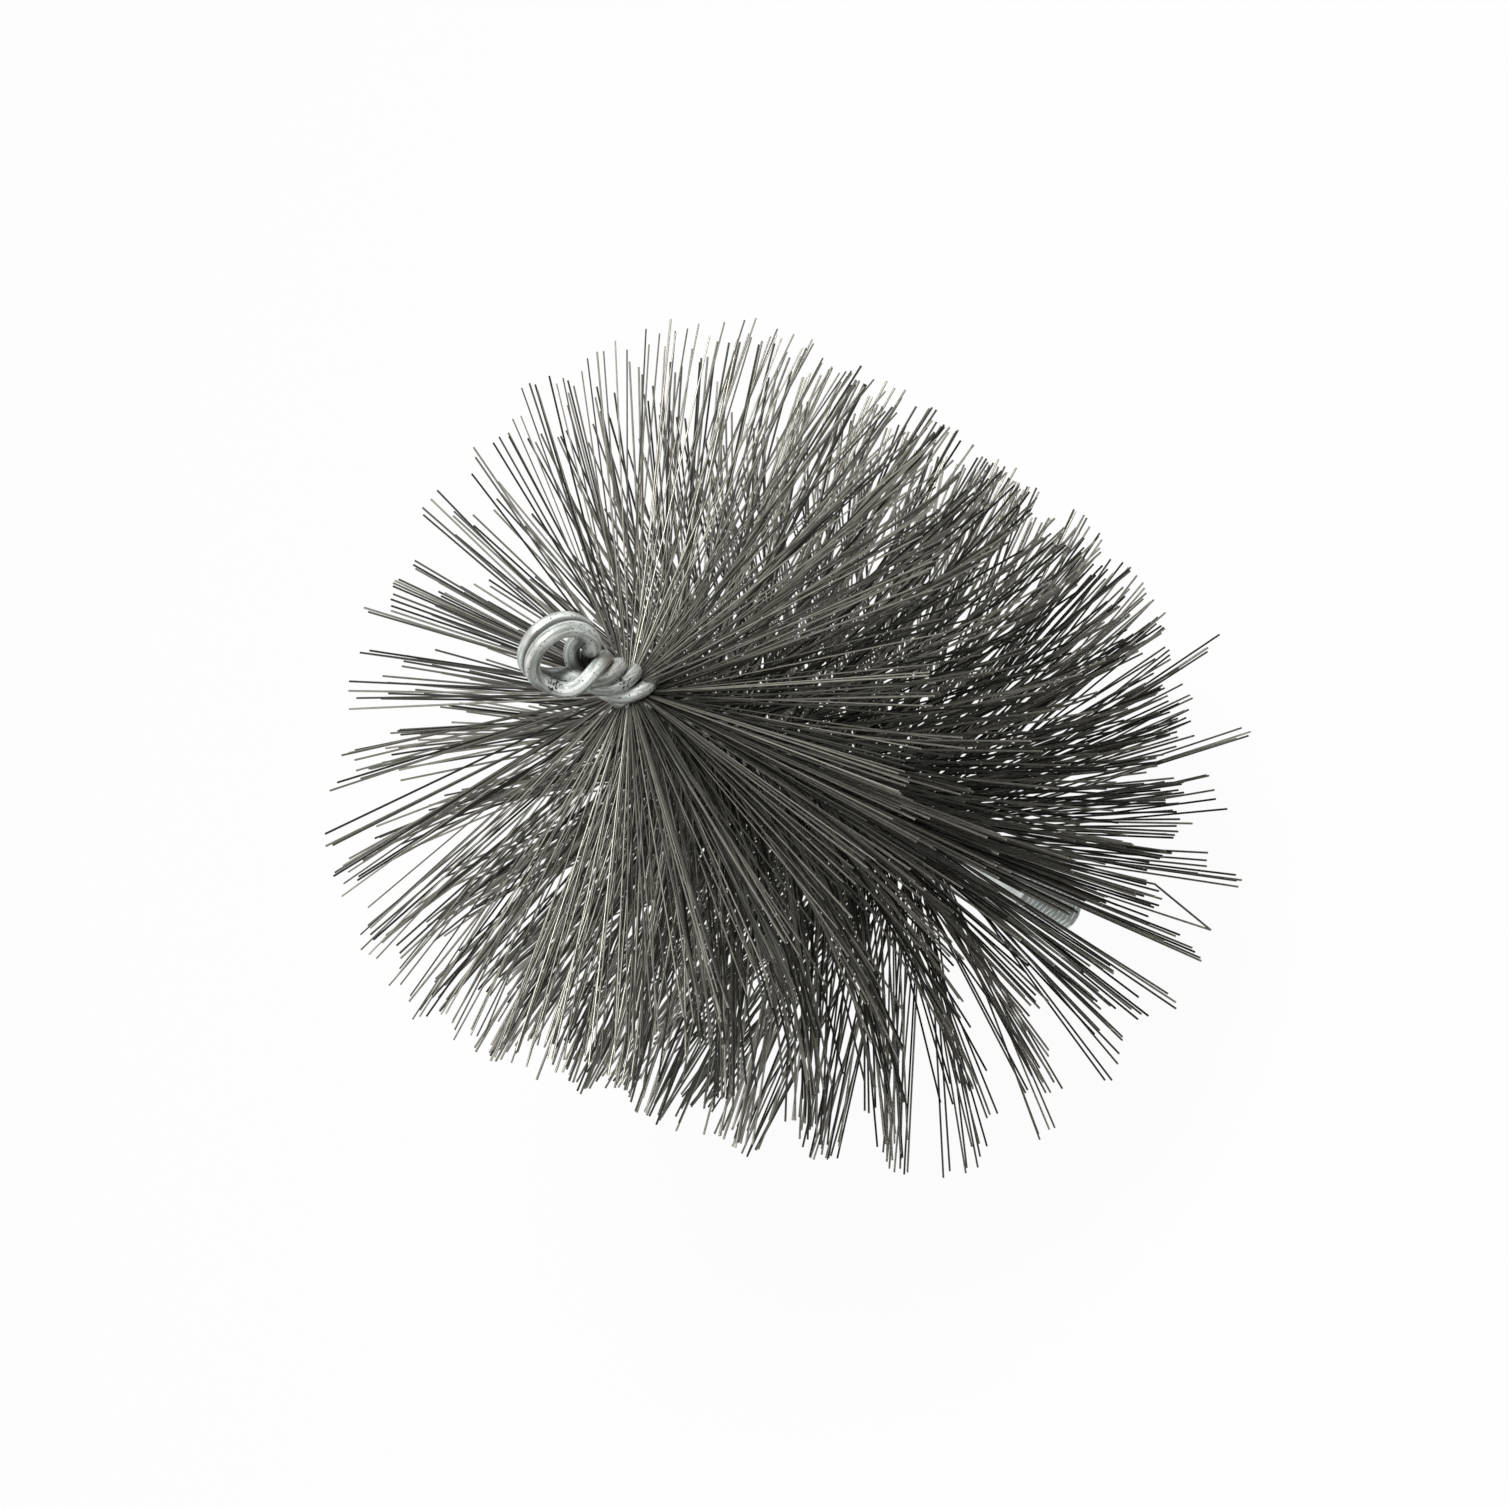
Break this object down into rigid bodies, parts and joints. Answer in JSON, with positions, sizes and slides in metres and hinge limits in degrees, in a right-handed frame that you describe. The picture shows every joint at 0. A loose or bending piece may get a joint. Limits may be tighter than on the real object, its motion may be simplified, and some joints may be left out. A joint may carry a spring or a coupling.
{
  "type": "tube brush",
  "caption": "Round steel tube brush: straight wire bristles held in a twisted wire stem with an eye at one end and a threaded stud in a crimped collar at the other.",
  "frame": {"origin": "centre of the stud's end face", "axes": "+Z runs along the stem from the stud to the eye; the eye opens along Y"},
  "size_m": [0.1398, 0.1397, 0.1643],
  "materials": {
    "galvanised_wire": "satin hot-dip zinc with darker streaks",
    "bristle_steel": "dark drawn spring steel, dull satin",
    "zinc_plated_steel": "bright zinc plating"
  },
  "bodies": {
    "root": {"threaded_fitting": "zinc_plated_steel", "stem_wire_a": "galvanised_wire", "stem_wire_b": "galvanised_wire", "bristle_slice_01": "bristle_steel", "bristle_slice_02": "bristle_steel", "bristle_slice_03": "bristle_steel", "bristle_slice_04": "bristle_steel", "bristle_slice_05": "bristle_steel", "bristle_slice_06": "bristle_steel", "bristle_slice_07": "bristle_steel", "bristle_slice_08": "bristle_steel", "bristle_slice_09": "bristle_steel", "bristle_slice_10": "bristle_steel", "bristle_slice_11": "bristle_steel", "bristle_slice_12": "bristle_steel", "bristle_slice_13": "bristle_steel", "bristle_slice_14": "bristle_steel", "bristle_slice_15": "bristle_steel", "bristle_slice_16": "bristle_steel", "bristle_slice_17": "bristle_steel", "bristle_slice_18": "bristle_steel", "bristle_slice_19": "bristle_steel", "bristle_slice_20": "bristle_steel", "bristle_slice_21": "bristle_steel"}
  },
  "joints": []
}
